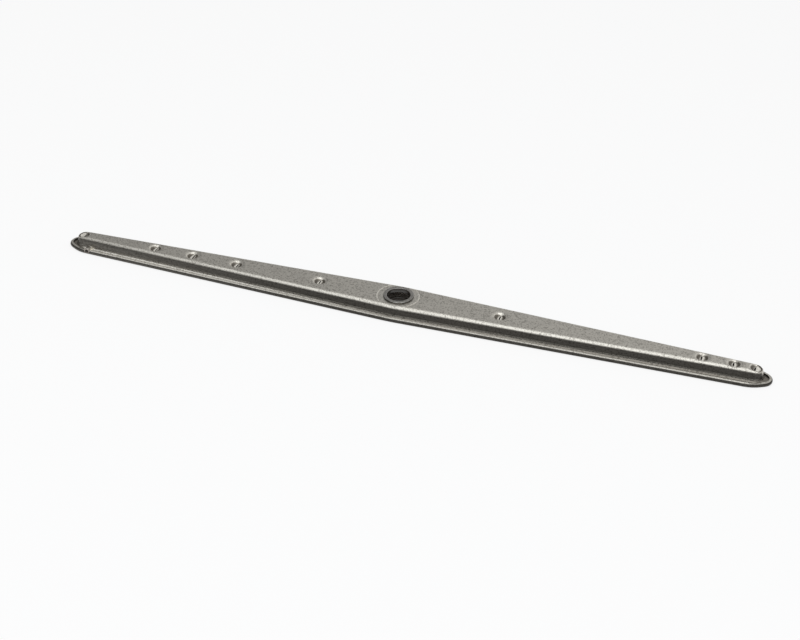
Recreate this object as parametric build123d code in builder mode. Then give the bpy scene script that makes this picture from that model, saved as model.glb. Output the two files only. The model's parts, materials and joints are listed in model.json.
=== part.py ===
"""A dishwasher spray arm pressed from sheet steel.

The upper shell is a tapered channel with dished slot jets, the flat lower shell is
hemmed over its flange, and a turned bush is brazed into each shell at the hub.

Millimetres. X runs along the arm, Z is up, and the origin is on the hub's axis in
the plane of the flat underside.
"""

import os
from math import atan2, copysign, cos, isclose, pi, radians, sin, tan

from build123d import *

UPWARD = (Align.CENTER, Align.CENTER, Align.MIN)

# Sheet and heights
SHEET = 1.0  # thickness of both shells
ARM_HEIGHT = 10.0  # underside to the flat top

# Rim: the outline of the hemmed edge
ARM_LENGTH = 500.0  # tip to tip over the rim
RIM_WIDTH = 38.0  # across the rim at the hub
RIM_TAPER = 1.97  # degrees that each long side leans towards the arm's axis
RIM_SHOULDER = 11.0  # from the tip back to the corner where the nose starts
NOSE_ANGLE = 31.0  # degrees between a side of the nose and the arm's axis
SHOULDER_RADIUS = 24.0
HUB_BEND_RADIUS = 150.0  # where the two straight runs of a long side meet
HEM_LIP = 2.2  # width of the lip folded over the flange
HEM_EDGE_FLAT = 0.1  # what is left flat on the hem's rounded edge
FLANGE_GAP = 0.5  # between the flange's edge and the inside of the hem

# Upper shell: a drafted channel with a flat top
TOP_INSET = 5.0  # at the hub, from the rim's edge in to the corner of top and wall
TOP_TAPER = 2.2  # degrees that each top edge leans towards the arm's axis
TOP_SETBACK = 7.0  # the top ends this far short of the rim's tip
WALL_DRAFT = 8.0  # degrees
FOLD_RADIUS = 3.4  # top edge, on the outside of the sheet
FOOT_CLEARANCE = 0.2  # between the rounded foot of the wall and the hem's lip

# Jets: places as shares of the end jets' reach; the outer ones lean towards the nearer tip
JET_SHARES = [-1.0, -0.762, -0.641, -0.5, -0.239, 0.297, 0.857, 0.942, 1.0]
END_JET_SETBACK = 11.25  # from the rim's tip to the middle of an end jet
END_JET_ANGLE = 22.0  # degrees from upright
OUTER_JET_ANGLE = 14.0
OUTER_JET_SHARE = 0.5  # jets nearer to the hub than this stand upright
DISH_DIAMETER = 9.6
DISH_DEPTH = 1.8
DISH_FLOOR = 5.2  # diameter of a dish's flat floor
SLOT_LENGTH = 4.0
SLOT_WIDTH = 0.9

# Drive nozzles: beads across the flange, at opposite corners of the arm
NOZZLE_SETBACK = 18.0  # from the rim's tip back along the arm
NOZZLE_BORE = 2.4
NOZZLE_RISE = 1.2  # from the flange's underside to the centre of the bore
NOZZLE_INSET = 0.7  # from the rim's outer edge to the mouth
NOZZLE_CLEARANCE = 0.15  # between the bead and the hem that is cut back for it

# Hub: a bush in each shell, and a shallow ring pressed into the top round the upper one
RING_DIAMETER = 28.6
RING_WIDTH = 1.6
RING_DEPTH = 0.25
BORE_DIAMETER = 15.8
NECK_WALL = 1.3
NECK_CLEARANCE = 0.05
COLLAR_DIAMETER = 20.8
COLLAR_HEIGHT = 1.1
COLLAR_CHAMFER = 0.4  # on the collar's outer rim
NECK_REACH = 1.0  # how far the neck stands out on the inner side of the sheet

# Lower seat: raised so that the lower collar stays clear of the underside
COLLAR_RECESS = 0.2
LOWER_SEAT_CLEARANCE = 0.6  # between the lower collar and the wall of its seat
LOWER_SEAT_FLARE = 1.4  # how much wider the seat is at the underside

# Levels and radii that follow
flange_top = 2 * SHEET
rim_top = 3 * SHEET
top_inside = ARM_HEIGHT - SHEET
lower_seat = COLLAR_RECESS + COLLAR_HEIGHT
rim_tip = ARM_LENGTH / 2
wall_spread = top_inside * tan(radians(WALL_DRAFT))
wall_across = SHEET / cos(radians(WALL_DRAFT))
foot_radius = TOP_INSET - wall_spread - HEM_LIP - FOOT_CLEARANCE
bore_radius = BORE_DIAMETER / 2
neck_radius = bore_radius + NECK_WALL
neck_hole = neck_radius + NECK_CLEARANCE
collar_radius = COLLAR_DIAMETER / 2
lower_seat_radius = collar_radius + LOWER_SEAT_CLEARANCE
dish_radius = DISH_DIAMETER / 2
dish_floor = DISH_FLOOR / 2
dish_level = ARM_HEIGHT - DISH_DEPTH
dish_lean = atan2(dish_radius - dish_floor, DISH_DEPTH)
end_jet = rim_tip - END_JET_SETBACK
seat_lean = atan2(LOWER_SEAT_FLARE, lower_seat)


def skin_shift(lean):
    """How far the sheet's thickness moves the corner between a level and a wall out of upright by lean."""
    return SHEET * tan((pi / 2 - lean) / 2)


def rim_half_width(reach):
    """Half the rim's width at a distance along the arm from the hub."""
    return RIM_WIDTH / 2 - reach * tan(radians(RIM_TAPER))


def jet_lean(share):
    """The lean in degrees of the jet at a share of the end jets' reach."""
    if abs(share) < OUTER_JET_SHARE:
        return 0
    return copysign(END_JET_ANGLE if abs(share) == 1 else OUTER_JET_ANGLE, share)


jets = [(share * end_jet, radians(jet_lean(share))) for share in JET_SHARES]
dish_skin = skin_shift(dish_lean)
seat_skin = skin_shift(seat_lean)
nozzle_reach = rim_tip - NOZZLE_SETBACK
nozzle_mouth = rim_half_width(nozzle_reach) - NOZZLE_INSET
nozzle_level = SHEET + NOZZLE_RISE
nozzle_planes = [
    Plane((-nozzle_reach, 0, nozzle_level), x_dir=(1, 0, 0), z_dir=(0, -1, 0)),
    Plane((nozzle_reach, 0, nozzle_level), x_dir=(-1, 0, 0), z_dir=(0, 1, 0)),
]


def rim_plan(inset):
    """The rim's outline moved in by inset: tapered both ways, with blunt noses."""
    shoulder = rim_tip - RIM_SHOULDER
    half = rim_half_width(shoulder)
    vertex = shoulder + half / tan(radians(NOSE_ANGLE))
    tip_radius = (vertex - rim_tip) / (1 / sin(radians(NOSE_ANGLE)) - 1)
    with BuildSketch() as plan:
        with BuildLine():
            Polyline(
                (0, -rim_half_width(0)),
                (shoulder, -half),
                (vertex, 0),
                (shoulder, half),
                (0, rim_half_width(0)),
                (-shoulder, half),
                (-vertex, 0),
                (-shoulder, -half),
                close=True,
            )
        make_face()
        for reach, radius in [(vertex, tip_radius), (shoulder, SHOULDER_RADIUS), (0, HUB_BEND_RADIUS)]:
            fillet(plan.vertices().filter_by(lambda v: isclose(abs(v.X), reach, abs_tol=1e-6)), radius)
        if inset:
            offset(amount=-inset)
    return plan.sketch


def channel_plan(spread):
    """The upper shell's outline at a level where its wall stands out from the top by spread."""
    lean = radians(TOP_TAPER)
    half = RIM_WIDTH / 2 - TOP_INSET + spread
    tip = rim_tip - TOP_SETBACK + spread
    nose_radius = (half - tip * tan(lean)) * cos(lean) / (1 - sin(lean))
    side_end = tip - nose_radius * (1 - sin(lean))
    side_half = nose_radius * cos(lean)
    with BuildSketch() as plan:
        with BuildLine():
            Polyline((-side_end, -side_half), (0, -half), (side_end, -side_half))
            ThreePointArc((side_end, -side_half), (tip, 0), (side_end, side_half))
            Polyline((side_end, side_half), (0, half), (-side_end, side_half))
            ThreePointArc((-side_end, side_half), (-tip, 0), (-side_end, -side_half))
        make_face()
        fillet(plan.vertices().filter_by(lambda v: abs(v.X) < side_end / 2), HUB_BEND_RADIUS)
    return plan.sketch


def nozzle_profile(width):
    """A drive nozzle's section: a round top on upright sides down to the lower shell."""
    half = width / 2
    with BuildSketch() as section:
        with BuildLine():
            Polyline((-half, 0), (-half, -NOZZLE_RISE), (half, -NOZZLE_RISE), (half, 0))
            ThreePointArc((half, 0), (0, half), (-half, 0))
        make_face()
    return section.sketch


def bush_profile():
    """Half of a bush's section, with the sheet's outer face at zero and its collar above."""
    with BuildSketch() as section:
        with BuildLine():
            Polyline(
                (bore_radius, -SHEET - NECK_REACH),
                (neck_radius, -SHEET - NECK_REACH),
                (neck_radius, 0),
                (collar_radius, 0),
                (collar_radius, COLLAR_HEIGHT),
                (bore_radius, COLLAR_HEIGHT),
                close=True,
            )
        make_face()
        chamfer(section.vertices().group_by(Axis.Y)[-1].sort_by(Axis.X)[-1], COLLAR_CHAMFER)
    return section.sketch


os.makedirs("parts", exist_ok=True)

channel_outside = channel_plan(wall_spread)
channel_inside = channel_plan(wall_spread - wall_across)
rim_outside = rim_plan(0)
rim_inside = rim_plan(SHEET)
flange_edge = rim_plan(SHEET + FLANGE_GAP)
lip_edge = rim_plan(HEM_LIP)
bush_half = bush_profile()
nozzle_outside = nozzle_profile(NOZZLE_BORE + 2 * SHEET)
nozzle_inside = nozzle_profile(NOZZLE_BORE)

# What the upper shell leaves hollow: its dishes stand into it at the sheet's thickness
with BuildPart() as hollow:
    with BuildSketch(Plane.XY.offset(SHEET)):
        add(channel_inside)
    extrude(amount=top_inside - SHEET, taper=WALL_DRAFT)
    fillet(hollow.faces().sort_by(Axis.Z)[-1].edges(), FOLD_RADIUS - SHEET)
    with Locations(*[(reach, 0, dish_level - SHEET) for reach, lean in jets]):
        Cone(dish_floor + dish_skin, dish_radius + dish_skin, DISH_DEPTH, align=UPWARD, mode=Mode.SUBTRACT)

with BuildPart() as upper_shell:
    with BuildSketch(Plane.XY.offset(SHEET)):
        add(channel_outside)
    extrude(amount=top_inside, taper=WALL_DRAFT)
    fillet(upper_shell.faces().sort_by(Axis.Z)[-1].edges(), FOLD_RADIUS)
    with BuildSketch(Plane.XY.offset(SHEET)):
        add(flange_edge)
    extrude(amount=SHEET)
    flange = upper_shell.faces().filter_by(Axis.Z).sort_by(Axis.Z)[-2]
    fillet(flange.inner_wires().edges(), foot_radius)
    for nozzle in nozzle_planes:
        with BuildSketch(nozzle):
            add(nozzle_outside)
        extrude(amount=nozzle_mouth)
    add(hollow.part, mode=Mode.SUBTRACT)
    for nozzle in nozzle_planes:
        with BuildSketch(nozzle):
            add(nozzle_inside)
        extrude(amount=2 * nozzle_mouth, mode=Mode.SUBTRACT)
    with Locations(*[(reach, 0, dish_level) for reach, lean in jets]):
        Cone(dish_floor, dish_radius, DISH_DEPTH, align=UPWARD, mode=Mode.SUBTRACT)
    for reach, lean in jets:
        aim = (sin(lean), 0, cos(lean))
        with BuildSketch(Plane((reach, 0, ARM_HEIGHT), x_dir=(0, 1, 0), z_dir=aim)):
            Rectangle(SLOT_LENGTH, SLOT_WIDTH)
        extrude(amount=-DISH_DEPTH - 2 * SHEET, mode=Mode.SUBTRACT)
    with BuildSketch(Plane.XZ):
        with Locations((RING_DIAMETER / 2, ARM_HEIGHT)):
            Polygon((-RING_WIDTH / 2, 0), (0, -RING_DEPTH), (RING_WIDTH / 2, 0), align=None)
    revolve(axis=Axis.Z, mode=Mode.SUBTRACT)
    with Locations((0, 0, ARM_HEIGHT)):
        Hole(neck_hole, 2 * SHEET)

with BuildPart() as lower_shell:
    with BuildSketch(Plane.XY):
        add(rim_outside)
    extrude(amount=rim_top)
    faces = lower_shell.faces().sort_by(Axis.Z)
    fillet(faces[0].edges() + faces[-1].edges(), (rim_top - HEM_EDGE_FLAT) / 2)
    with BuildSketch(Plane.XY.offset(SHEET)):
        add(rim_inside)
    extrude(amount=SHEET, mode=Mode.SUBTRACT)
    with BuildSketch(Plane.XY.offset(flange_top)):
        add(lip_edge)
    extrude(amount=SHEET, mode=Mode.SUBTRACT)
    for nozzle in nozzle_planes:
        with BuildSketch(nozzle):
            with Locations((0, NOZZLE_BORE)):
                Rectangle(NOZZLE_BORE + 2 * (SHEET + NOZZLE_CLEARANCE), 2 * (NOZZLE_BORE + NOZZLE_RISE))
        extrude(amount=2 * nozzle_mouth, mode=Mode.SUBTRACT)
    with Locations((0, 0, SHEET)):
        Cone(
            lower_seat_radius + LOWER_SEAT_FLARE + seat_skin,
            lower_seat_radius + seat_skin,
            lower_seat,
            align=UPWARD,
        )
    Cone(
        lower_seat_radius + LOWER_SEAT_FLARE,
        lower_seat_radius,
        lower_seat,
        align=UPWARD,
        mode=Mode.SUBTRACT,
    )
    with Locations((0, 0, lower_seat + SHEET)):
        Hole(neck_hole, 2 * SHEET)

with BuildPart() as upper_bush:
    with BuildSketch(Plane((0, 0, ARM_HEIGHT), x_dir=(1, 0, 0), z_dir=(0, -1, 0))):
        add(bush_half)
    revolve(axis=Axis.Z)

with BuildPart() as lower_bush:
    with BuildSketch(Plane((0, 0, lower_seat), x_dir=(1, 0, 0), z_dir=(0, 1, 0))):
        add(bush_half)
    revolve(axis=Axis.Z)

upper_shell.part.label = "upper_shell"
lower_shell.part.label = "lower_shell"
upper_bush.part.label = "upper_bush"
lower_bush.part.label = "lower_bush"
export_step(upper_shell.part, "parts/upper_shell.step")
export_step(lower_shell.part, "parts/lower_shell.step")
export_step(upper_bush.part, "parts/upper_bush.step")
export_step(lower_bush.part, "parts/lower_bush.step")
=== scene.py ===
"""Looks of a dishwasher spray arm: pressed satin sheet shells, turned bushes and a plain studio.

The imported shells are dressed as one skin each, with the dishes of the jets redrawn on fine
grids and the outer edges eased. The two bushes are turned anew with rounded collars.
Metres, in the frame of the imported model.
"""

import json
import logging
import math
from dataclasses import dataclass, field, replace
from enum import Enum

import bmesh
import bpy
from mathutils import Matrix, Vector

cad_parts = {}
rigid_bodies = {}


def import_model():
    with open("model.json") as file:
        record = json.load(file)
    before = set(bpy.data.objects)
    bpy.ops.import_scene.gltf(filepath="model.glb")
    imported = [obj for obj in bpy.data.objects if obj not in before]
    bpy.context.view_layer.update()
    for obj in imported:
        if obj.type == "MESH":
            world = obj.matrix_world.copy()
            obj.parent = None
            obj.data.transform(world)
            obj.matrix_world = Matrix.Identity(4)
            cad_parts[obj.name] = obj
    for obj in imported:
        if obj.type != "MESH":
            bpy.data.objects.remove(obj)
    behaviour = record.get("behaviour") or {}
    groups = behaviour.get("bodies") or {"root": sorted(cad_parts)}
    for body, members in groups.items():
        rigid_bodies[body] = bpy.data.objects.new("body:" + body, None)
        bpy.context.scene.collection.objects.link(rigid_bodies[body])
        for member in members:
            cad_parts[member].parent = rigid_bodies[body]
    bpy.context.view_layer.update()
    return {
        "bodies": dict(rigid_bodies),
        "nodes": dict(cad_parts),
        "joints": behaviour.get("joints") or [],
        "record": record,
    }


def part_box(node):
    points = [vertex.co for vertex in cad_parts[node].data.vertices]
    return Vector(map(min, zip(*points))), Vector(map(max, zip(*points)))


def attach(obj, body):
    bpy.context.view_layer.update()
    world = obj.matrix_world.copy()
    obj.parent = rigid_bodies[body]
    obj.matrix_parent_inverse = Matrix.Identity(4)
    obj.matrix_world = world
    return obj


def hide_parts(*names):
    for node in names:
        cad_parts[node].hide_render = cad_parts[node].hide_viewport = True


LOG = logging.getLogger("spray_arm")
MM = 0.001
SHEET = 1.0 * MM
BODY = "root"

Pair = tuple[float, float]
Triple = tuple[float, float, float]
Stops = tuple[tuple[float, Triple], ...]
Socket = bpy.types.NodeSocket

# Layers of the meshes that the materials read
INSIDE = "inside"
# Layer that marks where painted shade and painted highlights go
PAINTED_LIGHT_LAYER = "dish_depth"

# Tolerances
CUT = 0.001 * MM  # a cut snaps to points this close
WELD = 0.002 * MM  # points this close are one
TOUCH = 0.01 * MM  # levels and places this close are the same
FLAT = math.radians(0.3)  # faces this close in angle are merged

# Ranges that leave no level and no direction out
ALL_LEVELS: Pair = (-2.0 * MM, -1.0 * MM)
ALL_WAYS: Pair = (-2.0, -1.0)

# Octaves of the noises in the steel
PIT_DETAIL = 3.0
MOTTLE_DETAIL = 4.0
GRAIN_DETAIL = 2.0

# Shades of the steel: painted shade and painted highlights in and round the dishes, in the crease,
# on the ring and on the nozzle beads; a painted highlight along the hem's top; and the fine pits
DISH_SHADE_AND_HIGHLIGHT: Stops = (
    (0.0, (0.62, 0.62, 0.62)),
    (0.08, (0.80, 0.80, 0.80)),
    (0.26, (0.80, 0.80, 0.80)),
    (0.46, (0.20, 0.19, 0.18)),
    (0.80, (0.18, 0.17, 0.16)),
    (0.96, (1.0, 1.0, 1.0)),
)
# Painted highlight along the top of the hem
HEM_HIGHLIGHT: Stops = (
    (0.0, (0.62, 0.62, 0.62)),
    (1.0, (1.0, 1.0, 1.0)),
)
SPECKS: Stops = (
    (0.33, (0.48, 0.47, 0.46)),
    (0.46, (0.87, 0.87, 0.87)),
    (0.57, (1.0, 1.0, 1.0)),
)

# Distance of the jets from the hub: the end ones, and all as shares of that
END_JET = 238.75 * MM
JET_SHARES = (-1.0, -0.762, -0.641, -0.5, -0.239, 0.297, 0.857, 0.942, 1.0)


class GrainRun(Enum):
    """The way the fine grain of a steel face runs, as cells per metre along each axis."""

    ALONG_ARM = (90.0, 1500.0, 1500.0)
    ROUND_BORE = (700.0, 700.0, 2600.0)


@dataclass(frozen=True)
class Graph:
    """A node tree, with short ways to add nodes to it.

    Attributes:
        tree: The node tree.
    """

    tree: bpy.types.NodeTree

    def add(self, kind: str) -> bpy.types.Node:
        """Add a node of a kind."""
        return self.tree.nodes.new(kind)

    def link(self, source: Socket, target: Socket) -> None:
        """Link an output to an input."""
        self.tree.links.new(source, target)

    def layer(self, name: str) -> Socket:
        """Add a reader for one of the mesh's own layers."""
        node = self.add("ShaderNodeAttribute")
        node.attribute_name = name
        return node.outputs["Fac"]

    def split(self, vector: Socket) -> bpy.types.Node:
        """Split a vector and return the node with its parts."""
        node = self.add("ShaderNodeSeparateXYZ")
        self.link(vector, node.inputs["Vector"])
        return node

    def calc(self, operation: str, *values: Socket | float) -> Socket:
        """Calculate with values.

        Args:
            operation: Name of the operation.
            values: Sockets or numbers that it works on.

        Returns:
            The socket with the result.
        """
        node = self.add("ShaderNodeMath")
        node.operation = operation
        for value, target in zip(values, node.inputs):
            if isinstance(value, float):
                target.default_value = value
            else:
                self.link(value, target)
        return node.outputs["Value"]

    def span(
        self, value: Socket, source: Pair, target: Pair = (0.0, 1.0), smooth: bool = True
    ) -> Socket:
        """Map a value from one range to another.

        Args:
            value: Socket with the value.
            source: Ends of the range that is read.
            target: Ends of the range that is given.
            smooth: True to ease in and out at the ends.

        Returns:
            The socket with the mapped value.
        """
        node = self.add("ShaderNodeMapRange")
        node.interpolation_type = "SMOOTHSTEP" if smooth else "LINEAR"
        node.inputs["From Min"].default_value, node.inputs["From Max"].default_value = source
        node.inputs["To Min"].default_value, node.inputs["To Max"].default_value = target
        self.link(value, node.inputs["Value"])
        return node.outputs["Result"]

    def noise(self, place: Socket, scale: Triple, detail: float) -> Socket:
        """Add a noise.

        Args:
            place: Socket with the coordinates.
            scale: Cells per metre along each axis.
            detail: Octaves of the noise.

        Returns:
            The socket with the noise's value.
        """
        mapping = self.add("ShaderNodeMapping")
        mapping.inputs["Scale"].default_value = scale
        node = self.add("ShaderNodeTexNoise")
        node.inputs["Scale"].default_value = 1.0
        node.inputs["Detail"].default_value = detail
        self.link(place, mapping.inputs["Vector"])
        self.link(mapping.outputs["Vector"], node.inputs["Vector"])
        return node.outputs["Fac"]

    def ramp(self, value: Socket, stops: Stops) -> Socket:
        """Turn a value into shades.

        Args:
            value: Socket with the value.
            stops: Position and colour of each stop.

        Returns:
            The socket with the colour.
        """
        node = self.add("ShaderNodeValToRGB")
        steps = node.color_ramp.elements
        while len(steps) < len(stops):
            steps.new(0.5)
        for step, (position, colour) in zip(steps, stops):
            step.position = position
            step.color = (*colour, 1.0)
        self.link(value, node.inputs["Fac"])
        return node.outputs["Color"]

    def mix(self, share: Socket, base: Socket | Triple, tint: Triple) -> Socket:
        """Mix a tint into a colour.

        Args:
            share: Socket with the tint's share.
            base: The colour, or a socket with it.
            tint: Colour mixed in.

        Returns:
            The socket with the mixed colour.
        """
        node = self.add("ShaderNodeMix")
        node.data_type = "RGBA"
        node.inputs["B"].default_value = (*tint, 1.0)
        if isinstance(base, tuple):
            node.inputs["A"].default_value = (*base, 1.0)
        else:
            self.link(base, node.inputs["A"])
        self.link(share, node.inputs["Factor"])
        return node.outputs["Result"]

    def multiply(self, first: Socket, second: Socket) -> Socket:
        """Multiply two colours and return the socket with the product."""
        node = self.add("ShaderNodeMix")
        node.data_type = "RGBA"
        node.blend_type = "MULTIPLY"
        node.inputs["Factor"].default_value = 1.0
        self.link(first, node.inputs["A"])
        self.link(second, node.inputs["B"])
        return node.outputs["Result"]

    def bump(self, height: Socket, depth: float) -> bpy.types.Node:
        """Add a bump.

        Args:
            height: Socket with the height.
            depth: Height in metres of a full step.

        Returns:
            The bump node.
        """
        node = self.add("ShaderNodeBump")
        node.inputs["Distance"].default_value = depth
        self.link(height, node.inputs["Height"])
        return node


@dataclass(frozen=True)
class SteelFinish:
    """Bare stainless steel with a fine grain, fine pits, faint mottling and painted shade on
    upright faces.

    Attributes:
        name: Material name.
        face_tint: Colour of the flat, satin faces.
        wall_shade: Colour of the painted shade on faces that stand upright.
        roughness: Lowest and highest roughness over the mottling.
        grain: Direction of the fine grain.
        inside_tint: Colour of the faces inside the water channel, which are not metallic; on the
            turned bushes a painted shade in the bores.
        painted_light: Painted shade and painted highlights over the layer that marks where they
            go.
        dulled: Places on that layer between which the steel turns dull.
        dull_metal: Metallic share of dull steel.
        steep: Upright part of a face's normal where the painted wall shade starts and where it is
            full.
        foot: Levels between which the painted wall shade sets in.
        sideways: Sideways part of the normal over which it sets in, so that noses stay bright.
        fade: Places along the arm between which the painted wall shade grows to its full share.
        fade_share: Share of the painted wall shade at the first of them.
        grain_depth: Height of the grain.
        pits: Cells of the fine pitting per metre.
        pit_depth: Height of the pitting.
        mottle: Cells of the mottling per metre.
        mottle_span: Values of the mottling that give the lowest and the highest roughness.
    """

    name: str
    face_tint: Triple
    wall_shade: Triple
    roughness: Pair
    grain: GrainRun
    inside_tint: Triple = (0.50, 0.45, 0.40)
    painted_light: Stops = DISH_SHADE_AND_HIGHLIGHT
    dulled: Pair = (0.84, 1.0)
    dull_metal: float = 0.6
    steep: Pair = (0.66, 0.3)
    foot: Pair = ALL_LEVELS
    sideways: Pair = ALL_WAYS
    fade: Pair = (-240.0 * MM, -20.0 * MM)
    fade_share: float = 0.91
    grain_depth: float = 0.004 * MM
    pits: float = 1050.0
    pit_depth: float = 0.022 * MM
    mottle: float = 70.0
    mottle_span: Pair = (0.3, 0.7)

    def material(self) -> bpy.types.Material:
        """Build the node material.

        Returns:
            The finished material.
        """
        material = bpy.data.materials.new(self.name)
        material.use_nodes = True
        graph = Graph(material.node_tree)
        shader = material.node_tree.nodes["Principled BSDF"]
        coordinates = graph.add("ShaderNodeTexCoord")
        place = coordinates.outputs["Object"]

        pits = graph.noise(place, (self.pits, self.pits, self.pits), PIT_DETAIL)
        mottle = graph.noise(place, (self.mottle, self.mottle, self.mottle), MOTTLE_DETAIL)
        streaks = graph.noise(place, self.grain.value, GRAIN_DETAIL)

        inside = graph.layer(INSIDE)
        dish = graph.layer(PAINTED_LIGHT_LAYER)
        bare = graph.span(inside, (0.0, 1.0), (1.0, 0.0))
        clean = graph.span(dish, self.dulled, (1.0, self.dull_metal))
        graph.link(graph.calc("MULTIPLY", bare, clean), shader.inputs["Metallic"])

        upright = self._upright(graph, place, coordinates.outputs["Normal"])
        # Painted shade: upright faces are darkened by the way they face
        tone = graph.mix(upright, self.face_tint, self.wall_shade)
        # Inside faces take their own colour; in the bushes' bores it is a painted shade
        with_inside = graph.mix(inside, tone, self.inside_tint)
        # Painted shade and painted highlights from the layer that marks them
        light_painted = graph.multiply(with_inside, graph.ramp(dish, self.painted_light))
        specked = graph.multiply(light_painted, graph.ramp(pits, SPECKS))
        graph.link(specked, shader.inputs["Base Color"])

        gloss = graph.span(mottle, self.mottle_span, self.roughness)
        graph.link(gloss, shader.inputs["Roughness"])

        grain = graph.bump(streaks, self.grain_depth)
        pitting = graph.bump(pits, self.pit_depth)
        graph.link(grain.outputs["Normal"], pitting.inputs["Normal"])
        graph.link(pitting.outputs["Normal"], shader.inputs["Normal"])
        return material

    def _upright(self, graph: Graph, place: Socket, normal: Socket) -> Socket:
        """Add the share of painted shade: 0 on level faces and 1 on faces that stand upright.

        Args:
            graph: Graph of the material.
            place: Socket with the object coordinates.
            normal: Socket with the face's normal.

        Returns:
            The socket with the factor.
        """
        facing = graph.split(normal)
        spot = graph.split(place)
        up, across = (graph.calc("ABSOLUTE", facing.outputs[axis]) for axis in "ZY")
        share = graph.span(up, self.steep)
        for limit in (
            graph.span(spot.outputs["Z"], self.foot),
            graph.span(across, self.sideways),
            graph.span(spot.outputs["X"], self.fade, (self.fade_share, 1.0)),
        ):
            share = graph.calc("MULTIPLY", share, limit)
        return share


@dataclass
class PressedShell:
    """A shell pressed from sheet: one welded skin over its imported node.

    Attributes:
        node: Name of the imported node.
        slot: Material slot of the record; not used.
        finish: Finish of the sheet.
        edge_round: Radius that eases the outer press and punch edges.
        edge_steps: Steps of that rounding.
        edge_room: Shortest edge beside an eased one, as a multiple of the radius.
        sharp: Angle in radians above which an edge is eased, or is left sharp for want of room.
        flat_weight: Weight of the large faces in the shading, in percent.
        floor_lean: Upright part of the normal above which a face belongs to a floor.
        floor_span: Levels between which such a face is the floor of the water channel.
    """

    node: str
    slot: str
    finish: SteelFinish
    edge_round: float = 0.09 * MM
    edge_steps: int = 2
    edge_room: float = 2.5
    sharp: float = math.radians(42.0)
    flat_weight: int = 60
    floor_lean: float = 0.5
    floor_span: Pair = (SHEET * 0.5, SHEET * 1.5)

    def build(self, frame: dict) -> bpy.types.Object:
        """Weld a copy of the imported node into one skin, press it and ease its edges.

        Args:
            frame: The loaded frame.

        Returns:
            The finished piece.
        """
        skin = bmesh.new()
        skin.from_mesh(frame["nodes"][self.node].data)
        bmesh.ops.remove_doubles(skin, verts=skin.verts, dist=WELD)
        bmesh.ops.dissolve_limit(
            skin,
            angle_limit=FLAT,
            use_dissolve_boundaries=False,
            verts=skin.verts,
            edges=skin.edges,
        )
        self.press(skin)
        bmesh.ops.remove_doubles(skin, verts=skin.verts, dist=TOUCH)
        bmesh.ops.dissolve_degenerate(skin, dist=TOUCH, edges=skin.edges)
        inside = skin.faces.layers.float.new(INSIDE)
        for face in skin.faces:
            face.smooth = True
            face[inside] = float(self.is_inside(face))
        eased = skin.edges.layers.float.new("bevel_weight_edge")
        for edge in skin.edges:
            if edge.calc_face_angle(0.0) > self.sharp:
                edge.smooth = self.has_room(edge)
                edge[eased] = float(edge.smooth)
        piece = finished_piece(f"{self.node}_skin", skin, self.finish.material())
        bevel = piece.modifiers.new("eased_edges", "BEVEL")
        bevel.width = self.edge_round
        bevel.segments = self.edge_steps
        bevel.limit_method = "WEIGHT"
        bevel.use_clamp_overlap = False
        normals = piece.modifiers.new("flat_face_shading", "WEIGHTED_NORMAL")
        normals.keep_sharp = True
        normals.weight = self.flat_weight
        seat_piece(piece, self.node)
        return piece

    def press(self, skin: bmesh.types.BMesh) -> None:
        """Press a form into the welded skin and mark its layers: nothing on a plain shell."""

    def has_room(self, edge: bmesh.types.BMEdge) -> bool:
        """Tell whether an edge shows outside and no edge that meets it is too short for easing."""
        around = (other.calc_length() for vert in edge.verts for other in vert.link_edges)
        hidden = all(self.is_inside(face) for face in edge.link_faces)
        return not hidden and min(around) > self.edge_room * self.edge_round

    def is_inside(self, face: bmesh.types.BMFace) -> bool:
        """Tell whether a face looks into the water channel: its floor does."""
        low, high = self.floor_span
        return face.normal.z > self.floor_lean and low < face.calc_center_median().z < high


@dataclass
class LowerShell(PressedShell):
    """The flat lower shell, with a painted highlight along the top of its hem.

    Attributes:
        highlight: Place of the hem's top on the scale of its painted highlight.
        highlight_band: Height of the band of painted highlight, down from the hem's top.
        straight: Distance from the hub at which the noses start, which get no painted highlight.
    """

    rub: float = 1.0
    highlight_band: float = 0.3 * MM
    straight: float = 236.0 * MM

    def press(self, skin: bmesh.types.BMesh) -> None:
        """Mark the top of the hem for its painted highlight.

        Args:
            skin: The welded skin of the shell.
        """
        highlit = skin.verts.layers.float.new(PAINTED_LIGHT_LAYER)
        top = max(vert.co.z for vert in skin.verts)
        for vert in skin.verts:
            if vert.co.z > top - self.highlight_band and abs(vert.co.x) < self.straight:
                vert[highlit] = self.rub


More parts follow.
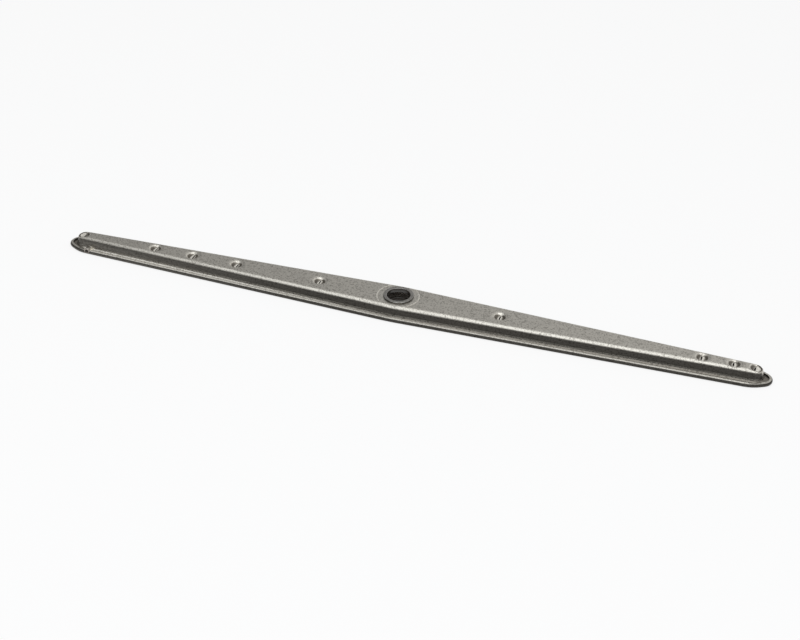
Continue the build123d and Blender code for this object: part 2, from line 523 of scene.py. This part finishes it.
@dataclass
class UpperShell(PressedShell):
    """The upper shell, with the dishes of its jets redrawn so that their lips are round.

    Attributes:
        jets: Distance of each jet from the hub along the arm.
        dish_radius: Radius of a dish at its lip.
        dish_floor: Radius of a dish's floor.
        dish_depth: Depth of a dish.
        lip_blend: Height over which a lip runs into the face round it.
        grid_half: Half the side of the fine grid that a dish is redrawn on.
        grid_steps: Steps of that grid each way from its middle.
        grid_lean: Upright part of the normal above which a face takes part in the grid.
        half_width: Half the width of the top at the hub, to the corner of top and wall.
        taper: Lean of the top's sides towards the arm's axis, in radians.
        tip: Distance of that corner at the nose from the hub.
        fold_radius: Radius of the fold between top and wall.
        fold_half: Half the angle through which the fold turns, in radians.
        fold_end: Share of the fold's radius at which it is cut off, short of upright.
        floor_edge: Width of the rim of a dish's floor that takes the painted shade of its side.
        slot_side: Distance from a slot's middle up to which the floor gets a painted highlight.
        floor_fade: Distance from there over which the floor darkens.
        floor_dark: How much it darkens, on the scale of the painted shade and highlights.
        side_shade: Place of the painted shade on a dish's sides across the arm on that scale.
        end_shade: What is added to it at the sides along the arm.
        ring: Radius of the ring pressed round the hub.
        ring_half: Half the width of that ring.
        ring_depth: Depth below the top from which the ring gets a painted highlight.
        highlight: Place of the painted highlights on the scale of the painted shade and
            highlights.
        crease: Level up to which the crease at the foot of the walls gets a painted shade.
        crease_shade: Place of that painted shade on the same scale.
        nozzle: Distance of the drive nozzles from the hub along the arm.
        nozzle_half: Half the width of a nozzle's bead.
        bead_side: Share of that half-width from which a point is on the bead's side.
        bead_top: Level above which a point is on top of the bead.
        bore_half: Share of the bead's half-width up to which a face is in the bore.
        bore_top: Level below which such a face is in the bore.
        ceiling_lean: Upright part of the normal below which a face belongs to the ceiling.
        ceiling_foot: Level above which such a face is the ceiling of the channel.
        wall_lean: Sideways part of the normal above which a face belongs to a wall.
    """

    jets: tuple[float, ...] = tuple(END_JET * share for share in JET_SHARES)
    dish_radius: float = 4.8 * MM
    dish_floor: float = 2.6 * MM
    dish_depth: float = 1.8 * MM
    lip_blend: float = 1.2 * MM
    grid_half: float = 6.6 * MM
    grid_steps: int = 14
    grid_lean: float = 0.4
    half_width: float = 14.0 * MM
    taper: float = math.radians(2.2)
    tip: float = 243.0 * MM
    fold_radius: float = 3.4 * MM
    fold_half: float = math.radians(41.0)
    fold_end: float = 0.97
    floor_edge: float = 0.05 * MM
    slot_side: float = 0.6 * MM
    floor_fade: float = 1.4 * MM
    floor_dark: float = 0.2
    side_shade: float = 0.42
    end_shade: float = 0.38
    ring: float = 14.3 * MM
    ring_half: float = 0.96 * MM
    ring_depth: float = 0.1 * MM
    rub: float = 0.2
    crease: float = 2.9 * MM
    crease_shade: float = 0.45
    nozzle: float = 232.0 * MM
    nozzle_half: float = 2.3 * MM
    bead_side: float = 0.7
    bead_top: float = 3.8 * MM
    bore_half: float = 0.6
    bore_top: float = 3.5 * MM
    ceiling_lean: float = -0.3
    ceiling_foot: float = 2.5 * SHEET
    wall_lean: float = 0.7

    def press(self, skin: bmesh.types.BMesh) -> None:
        """Redraw the dishes on fine grids with rounded lips, and mark where painted shade and
        painted highlights go.

        Args:
            skin: The welded skin of the shell.
        """
        top = max(vert.co.z for vert in skin.verts)
        for jet in self.jets:
            for vert in self._gridded(skin, jet, top):
                vert.co.z = self._pressed_level(vert.co, jet, top)
        # Mark painted shade in the dishes and the crease, and painted highlights on the dish
        # floors, the nozzle beads and the ring
        depth = skin.verts.layers.float.new(PAINTED_LIGHT_LAYER)
        for vert in skin.verts:
            if top - vert.co.z < self.dish_depth + TOUCH:
                vert[depth] = self._dish_share(vert.co)
            elif self._on_bead(vert.co):
                vert[depth] = self.rub
            elif vert.co.z < self.crease:
                vert[depth] = self.crease_shade
            if self._on_ring(vert.co, top) and vert.co.z < top - self.ring_depth:
                vert[depth] = self.rub
        for edge in skin.edges:
            edge.smooth = not all(self._on_ring(vert.co, top) for vert in edge.verts)

    def is_inside(self, face: bmesh.types.BMFace) -> bool:
        """Tell whether a face looks into the water channel.

        Args:
            face: The face.

        Returns:
            True for the ceiling, the inner side of the walls, the backs of the dishes and
            the bores of the drive nozzles.
        """
        centre = face.calc_center_median()
        ceiling = face.normal.z < self.ceiling_lean and centre.z > self.ceiling_foot
        inward = face.normal.y * centre.y < 0.0 and abs(face.normal.y) > self.wall_lean
        off = abs(abs(centre.x) - self.nozzle)
        nozzle_bore = off < self.bore_half * self.nozzle_half and centre.z < self.bore_top
        return ceiling or nozzle_bore or (inward and abs(centre.y) > self.dish_radius)

    def _on_bead(self, point: Vector) -> bool:
        """Tell whether a point lies on the outside of a drive nozzle's bead."""
        off = abs(abs(point.x) - self.nozzle)
        beside = off > self.bead_side * self.nozzle_half
        return off < self.nozzle_half and (beside or point.z > self.bead_top)

    def _on_ring(self, point: Vector, top: float) -> bool:
        """Tell whether a point lies on the ring pressed round the hub."""
        off = abs(point.xy.length - self.ring)
        return off < self.ring_half and point.z > top - SHEET / 2.0

    def _dish_share(self, point: Vector) -> float:
        """Give a point's place on the scale of the dishes' painted shade and highlights.

        Args:
            point: A point on the top or in a dish.

        Returns:
            0 outside the lips, and up to 1 on the floor beside a slot, which gets a painted
            highlight.
        """
        spokes = (point.xy - Vector((jet, 0.0)) for jet in self.jets)
        spoke = min(spokes, key=lambda way: way.length)
        at_end = abs(point.x) > self.jets[-1] - self.dish_radius
        tipward = at_end and spoke.x * point.x > 0.0
        if spoke.length < self.dish_floor - self.floor_edge:
            aside = min(max((abs(spoke.x) - self.slot_side) / self.floor_fade, 0.0), 1.0)
            return 1.0 if tipward else 1.0 - self.floor_dark * aside
        share = (self.dish_radius - spoke.length) / (self.dish_radius - self.dish_floor)
        along = abs(spoke.x) / spoke.length
        # Painted shade on a dish's sides, darkest along the arm
        painted_light = 1.0 if tipward else self.side_shade + self.end_shade * along
        return painted_light * max(share, 0.0)

    def _gridded(
        self, skin: bmesh.types.BMesh, jet: float, top: float
    ) -> set[bmesh.types.BMVert]:
        """Cut the outer face round a dish into a fine grid.

        Args:
            skin: The welded skin of the shell.
            jet: Place of the jet along the arm.
            top: Level of the flat top.

        Returns:
            The points of the grid.
        """
        step = self.grid_half / self.grid_steps
        inner = range(1 - self.grid_steps, self.grid_steps)
        along = [jet - self.grid_half, jet + self.grid_half] + [jet + n * step for n in inner]
        cuts = [(Vector((place, 0.0, 0.0)), Vector((1.0, 0.0, 0.0))) for place in along]
        cuts += [(Vector((0.0, n * step, 0.0)), Vector((0.0, 1.0, 0.0))) for n in inner]
        faces = [face for face in skin.faces if self._round_dish(face, jet, top)]
        for place, normal in cuts:
            edges = {edge for face in faces for edge in face.edges}
            points = {vert for face in faces for vert in face.verts}
            cut = bmesh.ops.bisect_plane(
                skin,
                geom=[*points, *edges, *faces],
                dist=CUT,
                plane_co=place,
                plane_no=normal,
            )["geom"]
            faces = [
                part
                for part in cut
                if isinstance(part, bmesh.types.BMFace) and self._round_dish(part, jet, top)
            ]
        return {vert for face in faces for vert in face.verts}

    def _round_dish(self, face: bmesh.types.BMFace, jet: float, top: float) -> bool:
        """Tell whether a face lies on the outer face round a dish.

        Args:
            face: The face.
            jet: Place of the jet along the arm.
            top: Level of the flat top.

        Returns:
            True for a face of the top, of the fold or of the dish.
        """
        if face.normal.z < self.grid_lean:
            return False
        reach = [vert.co.x - jet for vert in face.verts]
        low = min(vert.co.z for vert in face.verts)
        near = min(reach) < self.grid_half - TOUCH and max(reach) > TOUCH - self.grid_half
        return near and low > top - self.dish_depth - TOUCH

    def _pressed_level(self, point: Vector, jet: float, top: float) -> float:
        """Give the level of the pressed sheet: the face before the punch, blended into the dish.

        Args:
            point: A point on the grid of the dish.
            jet: Place of the jet along the arm.
            top: Level of the flat top.

        Returns:
            The level of the sheet at that point.
        """
        face = self._folded_level(point, top)
        off = (point.xy - Vector((jet, 0.0))).length - self.dish_floor
        rise = max(off, 0.0) * self.dish_depth / (self.dish_radius - self.dish_floor)
        dish = top - self.dish_depth + rise
        near = max(self.lip_blend - abs(face - dish), 0.0) / self.lip_blend
        return min(face, dish) - near * near * self.lip_blend / 4.0

    def _folded_level(self, point: Vector, top: float) -> float:
        """Give the level of the top and its fold, as they are before the dishes are pressed.

        Args:
            point: A point on the grid of a dish.
            top: Level of the flat top.

        Returns:
            The level at that point.
        """
        nose = (self.half_width - self.tip * math.tan(self.taper)) / (1.0 - math.sin(self.taper))
        past = abs(point.x) - (self.tip - nose)
        side = self.half_width - abs(point.x) * math.tan(self.taper) - abs(point.y)
        inset = nose - math.hypot(past, point.y) if past > 0.0 else side
        fold_run = self.fold_radius * math.tan(self.fold_half)
        run = min(max(fold_run - inset, 0.0), self.fold_end * self.fold_radius)
        return top - self.fold_radius + math.sqrt(self.fold_radius**2 - run**2)


@dataclass
class TurnedBush:
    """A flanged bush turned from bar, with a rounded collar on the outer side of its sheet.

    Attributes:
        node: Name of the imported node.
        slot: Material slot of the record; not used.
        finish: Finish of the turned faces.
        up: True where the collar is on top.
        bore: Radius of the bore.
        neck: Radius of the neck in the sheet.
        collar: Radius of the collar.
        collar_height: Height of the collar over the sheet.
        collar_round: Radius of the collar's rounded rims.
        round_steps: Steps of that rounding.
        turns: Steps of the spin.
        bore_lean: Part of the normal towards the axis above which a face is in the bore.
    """

    node: str
    slot: str
    finish: SteelFinish
    up: bool
    bore: float = 7.9 * MM
    neck: float = 9.2 * MM
    collar: float = 10.4 * MM
    collar_height: float = 1.1 * MM
    collar_round: float = 0.45 * MM
    round_steps: int = 4
    turns: int = 128
    bore_lean: float = 0.9

    def build(self) -> bpy.types.Object:
        """Spin the half-section and round the collar's rims.

        Returns:
            The finished piece.
        """
        low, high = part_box(self.node)
        outer, inner = (high.z, low.z) if self.up else (low.z, high.z)
        sheet_face = outer - self.collar_height if self.up else outer + self.collar_height
        turned = bmesh.new()
        section = [
            (self.bore, inner),
            (self.neck, inner),
            (self.neck, sheet_face),
            (self.collar, sheet_face),
            (self.collar, outer),
            (self.bore, outer),
        ]
        points = [turned.verts.new((radius, 0.0, level)) for radius, level in section]
        edges = [turned.edges.new(pair) for pair in zip(points, points[1:] + points[:1])]
        bmesh.ops.spin(
            turned,
            geom=points + edges,
            axis=(0.0, 0.0, 1.0),
            cent=(0.0, 0.0, 0.0),
            angle=2.0 * math.pi,
            steps=self.turns,
            use_merge=True,
        )
        bmesh.ops.remove_doubles(turned, verts=turned.verts, dist=WELD)
        bmesh.ops.recalc_face_normals(turned, faces=turned.faces)
        rims = [edge for edge in turned.edges if self._on_outer_rim(edge, outer)]
        bmesh.ops.bevel(
            turned,
            geom=rims,
            offset=self.collar_round,
            offset_type="OFFSET",
            affect="EDGES",
            segments=self.round_steps,
            profile=0.5,
            material=-1,
        )
        inside = turned.faces.layers.float.new(INSIDE)
        for face in turned.faces:
            face.smooth = True
            face[inside] = float(self._is_inside(face, sheet_face))
        piece = finished_piece(f"{self.node}_turned", turned, self.finish.material())
        normals = piece.modifiers.new("flat_face_shading", "WEIGHTED_NORMAL")
        normals.keep_sharp = True
        seat_piece(piece, self.node)
        return piece

    def _is_inside(self, face: bmesh.types.BMFace, sheet_face: float) -> bool:
        """Tell whether a face is in the bore or on the neck inside the channel."""
        centre = face.calc_center_median()
        bored = face.normal.xy.dot(centre.xy) < -self.bore_lean * centre.xy.length
        past_sheet = centre.z < sheet_face if self.up else centre.z > sheet_face
        return bored or past_sheet

    def _on_outer_rim(self, edge: bmesh.types.BMEdge, outer: float) -> bool:
        """Tell whether an edge runs round the collar's outer or bore rim."""
        first, second = (vert.co for vert in edge.verts)
        level = abs(first.z - outer) < TOUCH and abs(second.z - outer) < TOUCH
        return level and abs(first.xy.length - second.xy.length) < TOUCH


@dataclass
class Studio:
    """A plain pale floor, a soft lamp, weak surroundings and the camera.

    Attributes:
        eye: Camera position.
        aim: Point the camera looks at.
        roll: Roll about the line of sight, in radians.
        lens: Focal length in millimetres.
        sensor: Width of the sensor in millimetres.
        clip_start: Distance from which the camera sees.
        floor_size: Side of the floor.
        floor_drop: Gap between the floor and the underside.
        floor_tint: Colour of the floor.
        floor_white: Share of plain white in what is seen of the floor.
        dim_side: Strength of the surroundings on the -X side.
        bright_side: Strength of the surroundings on the +X side.
        side_span: Part of a direction along X over which the one passes into the other.
        lamp_place: Position of the lamp, which faces the origin.
        lamp_size: Width and depth of its face.
        lamp_power: Power of the lamp in watts.
        lamp_tint: Colour of the lamp, a little cooler than the surroundings.
    """

    eye: Vector = field(default_factory=lambda: Vector((0.25464, -0.76689, 0.52186)))
    aim: Vector = field(default_factory=lambda: Vector((0.01054, -0.02781, 0.01)))
    roll: float = math.radians(1.213)
    lens: float = 63.82
    sensor: float = 36.0
    clip_start: float = 0.01
    floor_size: float = 24.0
    floor_drop: float = 0.05 * MM
    floor_tint: Triple = (0.93, 0.93, 0.93)
    floor_white: float = 0.8
    dim_side: float = 0.34
    bright_side: float = 0.69
    side_span: Pair = (-0.6, 0.1)
    lamp_place: Triple = (0.10, -0.72, 1.35)
    lamp_size: Pair = (2.2, 1.8)
    lamp_power: float = 14.0
    lamp_tint: Triple = (0.94, 0.97, 1.0)

    def build(self) -> None:
        """Set up the floor, the lamp, the world and the camera."""
        self._floor()
        self._lamp()
        self._world()
        self._camera()
        bpy.context.scene.view_settings.view_transform = "Standard"

    def _floor(self) -> None:
        """Lay the floor."""
        sheet = bmesh.new()
        bmesh.ops.create_grid(
            sheet,
            x_segments=1,
            y_segments=1,
            size=self.floor_size / 2.0,
            matrix=Matrix.Translation((0.0, 0.0, -self.floor_drop)),
        )
        material = bpy.data.materials.new("pale_floor")
        material.use_nodes = True
        shader = material.node_tree.nodes["Principled BSDF"]
        shader.inputs["Base Color"].default_value = (*self.floor_tint, 1.0)
        shader.inputs["Roughness"].default_value = 1.0
        shader.inputs["Specular IOR Level"].default_value = 0.0
        self._whiten(material.node_tree, shader)
        finished_piece("floor", sheet, material)

    def _whiten(self, tree: bpy.types.NodeTree, shader: bpy.types.Node) -> None:
        """Mix white into what the camera, reflections and glass see of the floor.

        Args:
            tree: Node tree of the floor's material.
            shader: The floor's own shader.
        """
        graph = Graph(tree)
        path = graph.add("ShaderNodeLightPath")
        seen = path.outputs["Is Camera Ray"]
        for ray in ("Is Glossy Ray", "Is Transmission Ray"):
            seen = graph.calc("MAXIMUM", seen, path.outputs[ray])
        white = graph.add("ShaderNodeEmission")
        mixed = graph.add("ShaderNodeMixShader")
        graph.link(graph.calc("MULTIPLY", seen, self.floor_white), mixed.inputs["Fac"])
        graph.link(shader.outputs["BSDF"], mixed.inputs[1])
        graph.link(white.outputs["Emission"], mixed.inputs[2])
        graph.link(mixed.outputs["Shader"], tree.nodes["Material Output"].inputs["Surface"])

    def _lamp(self) -> None:
        """Hang the soft lamp."""
        data = bpy.data.lights.new("front_softbox", "AREA")
        data.shape = "RECTANGLE"
        data.size, data.size_y = self.lamp_size
        data.energy = self.lamp_power
        data.color = self.lamp_tint
        lamp = bpy.data.objects.new("front_softbox", data)
        lamp.location = self.lamp_place
        lamp.rotation_euler = (-Vector(self.lamp_place)).to_track_quat("-Z", "Y").to_euler()
        bpy.context.scene.collection.objects.link(lamp)

    def _world(self) -> None:
        """Fill the surroundings with a weak light that fades towards one side."""
        world = bpy.data.worlds.new("studio")
        world.use_nodes = True
        graph = Graph(world.node_tree)
        back = world.node_tree.nodes["Background"]
        back.inputs["Color"].default_value = (1.0, 1.0, 1.0, 1.0)
        way = graph.split(graph.add("ShaderNodeTexCoord").outputs["Generated"])
        sides = (self.dim_side, self.bright_side)
        level = graph.span(way.outputs["X"], self.side_span, sides, smooth=False)
        graph.link(level, back.inputs["Strength"])
        bpy.context.scene.world = world

    def _camera(self) -> None:
        """Place the camera."""
        data = bpy.data.cameras.new("view")
        data.lens = self.lens
        data.sensor_width = self.sensor
        data.sensor_fit = "HORIZONTAL"
        data.clip_start = self.clip_start
        camera = bpy.data.objects.new("view", data)
        sight = (self.aim - self.eye).to_track_quat("-Z", "Y").to_matrix().to_4x4()
        camera.matrix_world = (
            Matrix.Translation(self.eye) @ sight @ Matrix.Rotation(self.roll, 4, "Z")
        )
        bpy.context.scene.collection.objects.link(camera)
        bpy.context.scene.camera = camera


def finished_piece(
    name: str, mesh: bmesh.types.BMesh, material: bpy.types.Material
) -> bpy.types.Object:
    """Turn a bmesh into an object at the origin.

    Args:
        name: Object and mesh name.
        mesh: The bmesh, which is freed.
        material: Its material.

    Returns:
        The linked object.
    """
    data = bpy.data.meshes.new(name)
    mesh.to_mesh(data)
    mesh.free()
    data.materials.append(material)
    piece = bpy.data.objects.new(name, data)
    bpy.context.scene.collection.objects.link(piece)
    return piece


def seat_piece(piece: bpy.types.Object, node: str) -> None:
    """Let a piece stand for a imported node.

    Args:
        piece: The piece.
        node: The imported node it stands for.
    """
    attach(piece, BODY)
    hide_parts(node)
    LOG.info("%s stands for %s", piece.name, node)


def main() -> None:
    """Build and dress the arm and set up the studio."""
    logging.basicConfig(level=logging.INFO, format="%(name)s: %(message)s")
    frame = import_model()
    sheet = SteelFinish(
        name="satin_sheet",
        face_tint=(0.97, 0.93, 0.84),
        # Painted shade on the upright walls
        wall_shade=(0.105, 0.098, 0.088),
        roughness=(0.30, 0.38),
        grain=GrainRun.ALONG_ARM,
        foot=(3.0 * MM, 4.4 * MM),
        sideways=(0.2, 0.6),
    )
    hem = replace(
        sheet,
        name="satin_hem",
        # Painted highlight along the hem's top, painted shade on its rounded edge
        painted_light=HEM_HIGHLIGHT,
        steep=(0.95, 0.8),
        foot=ALL_LEVELS,
        sideways=ALL_WAYS,
    )
    turned = SteelFinish(
        name="turned_collar",
        face_tint=(0.56, 0.54, 0.505),
        # Painted shade on the upright turned faces
        wall_shade=(0.11, 0.103, 0.094),
        roughness=(0.22, 0.30),
        grain=GrainRun.ROUND_BORE,
        # Painted shade in the bores
        inside_tint=(0.075, 0.063, 0.053),
    )
    UpperShell("upper_shell", "upper_sheet", sheet).build(frame)
    LowerShell("lower_shell", "lower_sheet", hem).build(frame)
    TurnedBush("upper_bush", "turned_steel", turned, up=True).build()
    TurnedBush("lower_bush", "turned_steel", turned, up=False).build()
    Studio().build()


if __name__ == "__main__":
    main()
